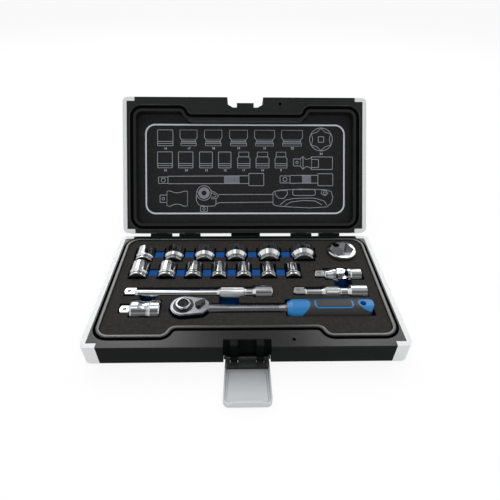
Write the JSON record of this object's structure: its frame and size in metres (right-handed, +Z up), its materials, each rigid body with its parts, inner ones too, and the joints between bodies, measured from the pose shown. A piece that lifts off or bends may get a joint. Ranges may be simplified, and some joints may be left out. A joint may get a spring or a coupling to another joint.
{
  "type": "socket wrench set in case",
  "caption": "Hinged plastic case with end caps and a hooked latch; its foam tray holds metric sockets, extension bars, a universal joint, a drive adapter and a reversible ratchet.",
  "frame": {"origin": "middle of the case's flat underside", "axes": "+X to the right along the case's length, +Y to the back where the lid hinges, +Z up"},
  "size_m": [0.294, 0.33, 0.1539],
  "materials": {
    "chrome": "polished",
    "steel": "satin",
    "silver_plastic": "satin",
    "black_plastic": "satin",
    "charcoal_foam": "matte",
    "blue_foam": "matte",
    "azure_plastic": "satin",
    "grey_rubber": "matte"
  },
  "bodies": {
    "case_base": {"base_shell": "black_plastic", "base_rim": "black_plastic", "base_cap_left": "silver_plastic", "base_cap_right": "silver_plastic", "hinge_pins": "steel", "foam_top": "charcoal_foam", "foam_bottom": "blue_foam", "latch_pin": "steel"},
    "lid": {"lid_shell": "black_plastic", "lid_rim": "black_plastic", "lid_cap_left": "silver_plastic", "lid_cap_right": "silver_plastic", "lid_pad": "charcoal_foam"},
    "latch": {"latch_plate": "silver_plastic", "latch_link": "black_plastic"},
    "socket_9": {"socket_9": "chrome"},
    "socket_10": {"socket_10": "chrome"},
    "socket_11": {"socket_11": "chrome"},
    "socket_12": {"socket_12": "chrome"},
    "socket_13": {"socket_13": "chrome"},
    "socket_14": {"socket_14": "chrome"},
    "socket_15": {"socket_15": "chrome"},
    "socket_16": {"socket_16": "chrome"},
    "socket_17": {"socket_17": "chrome"},
    "socket_18": {"socket_18": "chrome"},
    "socket_19": {"socket_19": "chrome"},
    "socket_21": {"socket_21": "chrome"},
    "socket_22": {"socket_22": "chrome"},
    "socket_24": {"socket_24": "chrome"},
    "long_extension": {"long_extension": "chrome", "long_extension_ball": "steel"},
    "short_extension": {"short_extension": "chrome", "short_extension_ball": "steel"},
    "universal_joint": {"joint_drive_fork": "chrome", "joint_ball": "steel", "joint_cross": "steel"},
    "joint_socket_end": {"joint_socket_fork": "chrome"},
    "adapter": {"adapter": "chrome", "adapter_ball": "steel"},
    "ratchet": {"ratchet_head": "chrome", "ratchet_cover": "chrome", "ratchet_bezel": "black_plastic", "ratchet_ring": "steel", "ratchet_pawl": "steel", "handle_core": "azure_plastic", "handle_grip": "grey_rubber"},
    "ratchet_anvil": {"ratchet_gear": "steel", "ratchet_anvil_ball": "steel"},
    "ratchet_lever": {"ratchet_lever": "black_plastic"},
    "ratchet_button": {"ratchet_button": "steel"}
  },
  "joints": [
    {"name": "lid_hinge", "type": "hinge", "parent": "case_base", "child": "lid", "pos_m": [0, 0.0845, 0.0223], "axis": [-1, 0, 0], "range_deg": [-127.35, 0]},
    {"name": "latch_hinge", "type": "hinge", "parent": "case_base", "child": "latch", "pos_m": [0, -0.0806, 0.0044], "axis": [1, 0, 0], "range_deg": [-95.5, 0]},
    {"name": "socket_9_lift", "type": "slide", "parent": "case_base", "child": "socket_9", "axis": [0, 0, 1], "range_m": [0, 0.06]},
    {"name": "socket_10_lift", "type": "slide", "parent": "case_base", "child": "socket_10", "axis": [0, 0, 1], "range_m": [0, 0.06]},
    {"name": "socket_11_lift", "type": "slide", "parent": "case_base", "child": "socket_11", "axis": [0, 0, 1], "range_m": [0, 0.06]},
    {"name": "socket_12_lift", "type": "slide", "parent": "case_base", "child": "socket_12", "axis": [0, 0, 1], "range_m": [0, 0.06]},
    {"name": "socket_13_lift", "type": "slide", "parent": "case_base", "child": "socket_13", "axis": [0, 0, 1], "range_m": [0, 0.06]},
    {"name": "socket_14_lift", "type": "slide", "parent": "case_base", "child": "socket_14", "axis": [0, 0, 1], "range_m": [0, 0.06]},
    {"name": "socket_15_lift", "type": "slide", "parent": "case_base", "child": "socket_15", "axis": [0, 0, 1], "range_m": [0, 0.06]},
    {"name": "socket_16_lift", "type": "slide", "parent": "case_base", "child": "socket_16", "axis": [0, 0, 1], "range_m": [0, 0.06]},
    {"name": "socket_17_lift", "type": "slide", "parent": "case_base", "child": "socket_17", "axis": [0, 0, 1], "range_m": [0, 0.06]},
    {"name": "socket_18_lift", "type": "slide", "parent": "case_base", "child": "socket_18", "axis": [0, 0, 1], "range_m": [0, 0.06]},
    {"name": "socket_19_lift", "type": "slide", "parent": "case_base", "child": "socket_19", "axis": [0, 0, 1], "range_m": [0, 0.06]},
    {"name": "socket_21_lift", "type": "slide", "parent": "case_base", "child": "socket_21", "axis": [0, 0, 1], "range_m": [0, 0.06]},
    {"name": "socket_22_lift", "type": "slide", "parent": "case_base", "child": "socket_22", "axis": [0, 0, 1], "range_m": [0, 0.06]},
    {"name": "socket_24_lift", "type": "slide", "parent": "case_base", "child": "socket_24", "axis": [0, 0, 1], "range_m": [0, 0.06]},
    {"name": "long_extension_lift", "type": "slide", "parent": "case_base", "child": "long_extension", "axis": [0, 0, 1], "range_m": [0, 0.06]},
    {"name": "short_extension_lift", "type": "slide", "parent": "case_base", "child": "short_extension", "axis": [0, 0, 1], "range_m": [0, 0.06]},
    {"name": "universal_joint_lift", "type": "slide", "parent": "case_base", "child": "universal_joint", "axis": [0, 0, 1], "range_m": [0, 0.06]},
    {"name": "adapter_lift", "type": "slide", "parent": "case_base", "child": "adapter", "axis": [0, 0, 1], "range_m": [0, 0.06]},
    {"name": "ratchet_lift", "type": "slide", "parent": "case_base", "child": "ratchet", "axis": [0, 0, 1], "range_m": [0, 0.06]},
    {"name": "joint_bend", "type": "hinge", "parent": "universal_joint", "child": "joint_socket_end", "pos_m": [0.10135, 0.014, 0.0188], "axis": [0, -1, 0], "range_deg": [0, 45]},
    {"name": "anvil_turn", "type": "hinge", "parent": "ratchet", "child": "ratchet_anvil", "pos_m": [-0.06075, -0.0347, 0.0198], "axis": [0, 0, 1], "continuous": true},
    {"name": "lever_flip", "type": "hinge", "parent": "ratchet", "child": "ratchet_lever", "pos_m": [-0.04655, -0.0347, 0.0198], "axis": [0, 0, 1], "range_deg": [-84, 0]},
    {"name": "button_press", "type": "slide", "parent": "ratchet", "child": "ratchet_button", "axis": [0, 0, -1], "range_m": [0, 0.0016], "stiffness_N_per_m": 500, "springref_m": -0.001}
  ]
}
